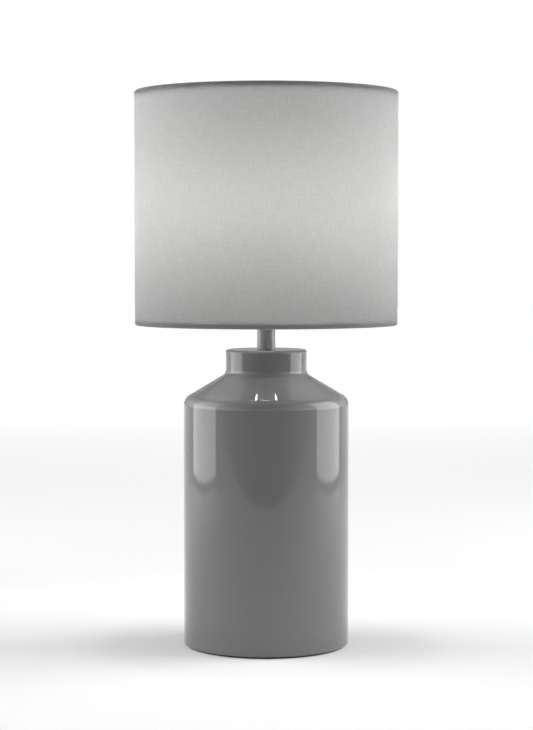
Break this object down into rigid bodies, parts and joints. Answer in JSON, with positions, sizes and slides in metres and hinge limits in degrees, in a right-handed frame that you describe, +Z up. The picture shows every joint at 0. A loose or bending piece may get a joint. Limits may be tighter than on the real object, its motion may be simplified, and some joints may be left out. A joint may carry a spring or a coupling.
{
  "type": "table lamp with shade",
  "caption": "Table lamp with a round glazed ceramic base, sloping shoulder and collar, short metal stem and a fabric drum shade over a screw-in bulb.",
  "frame": {"origin": "centre of the felt pad's underside, on the surface that the lamp stands on", "axes": "+Z up along the lamp's axis, -Y the front, +Y the back with the mains inlet, +X the side on which the switch's push bar stands out"},
  "size_m": [0.28, 0.28, 0.5912],
  "materials": {
    "felt": "dense felt",
    "fibreboard": "pressed board",
    "glaze": "glossy grey glaze",
    "dark_rubber": "matte",
    "grey_rubber": "matte",
    "zinc_steel": "zinc plated",
    "brass": "plain",
    "nylon": "natural",
    "stem_metal": "gloss grey",
    "black_phenolic": "moulded",
    "porcelain": "unglazed white",
    "ivory_plastic": "moulded",
    "white_wire": "white enamel",
    "styrene": "translucent white",
    "shade_cloth": "plain woven, light grey",
    "bulb_metal": "bright",
    "bulb_plastic": "white",
    "circuit_board": "solder mask",
    "aluminium_board": "white faced",
    "led_phosphor": "phosphor",
    "opal": "opal diffuser"
  },
  "bodies": {
    "base": {"felt_pad": "felt", "base_cover": "fibreboard", "ceramic_body": "glaze", "cord_bush": "dark_rubber", "clamp_plate": "zinc_steel", "spring_washer": "zinc_steel", "bottom_nut": "brass", "threaded_rod": "brass", "collar_bush": "nylon", "stem_gasket": "grey_rubber", "stem_tube": "stem_metal", "stem_bush_lower": "nylon", "stem_bush_upper": "nylon", "top_washer": "zinc_steel", "top_nut": "brass", "holder_cap": "black_phenolic", "grub_screw": "zinc_steel", "holder_skirt": "black_phenolic", "holder_insert": "porcelain", "screw_shell": "brass", "centre_contact": "brass", "terminal_screws": "zinc_steel", "switch_contacts": "brass"},
    "switch": {"switch_bar": "ivory_plastic", "switch_button_left": "ivory_plastic", "switch_button_right": "ivory_plastic", "switch_bridge": "brass"},
    "ring_nut": {"shade_ring_nut": "black_phenolic"},
    "shade": {"fitter_ring": "white_wire", "spider_arm_1": "white_wire", "spider_arm_2": "white_wire", "spider_arm_3": "white_wire", "shade_bottom_ring": "white_wire", "shade_top_ring": "white_wire", "shade_liner": "styrene", "shade_seam_strip": "styrene", "shade_fabric": "shade_cloth"},
    "bulb": {"bulb_contact": "bulb_metal", "bulb_insulator": "black_phenolic", "bulb_screw_cap": "bulb_metal", "bulb_housing": "bulb_plastic", "driver_board": "circuit_board", "led_board": "aluminium_board", "led_chips": "led_phosphor", "bulb_globe": "opal"}
  },
  "joints": [
    {"name": "shade_swivel", "type": "hinge", "parent": "base", "child": "shade", "pos_m": [0, 0, 0.3773], "axis": [0, 0, 1], "continuous": true},
    {"name": "ring_nut_travel", "type": "slide", "parent": "base", "child": "ring_nut", "axis": [0, 0, 1], "range_m": [0, 0.015]},
    {"name": "switch_push", "type": "slide", "parent": "base", "child": "switch", "axis": [1, 0, 0], "range_m": [-0.005, 0]},
    {"name": "bulb_removal", "type": "slide", "parent": "base", "child": "bulb", "axis": [0, 0, 1], "range_m": [0, 0.215]}
  ]
}
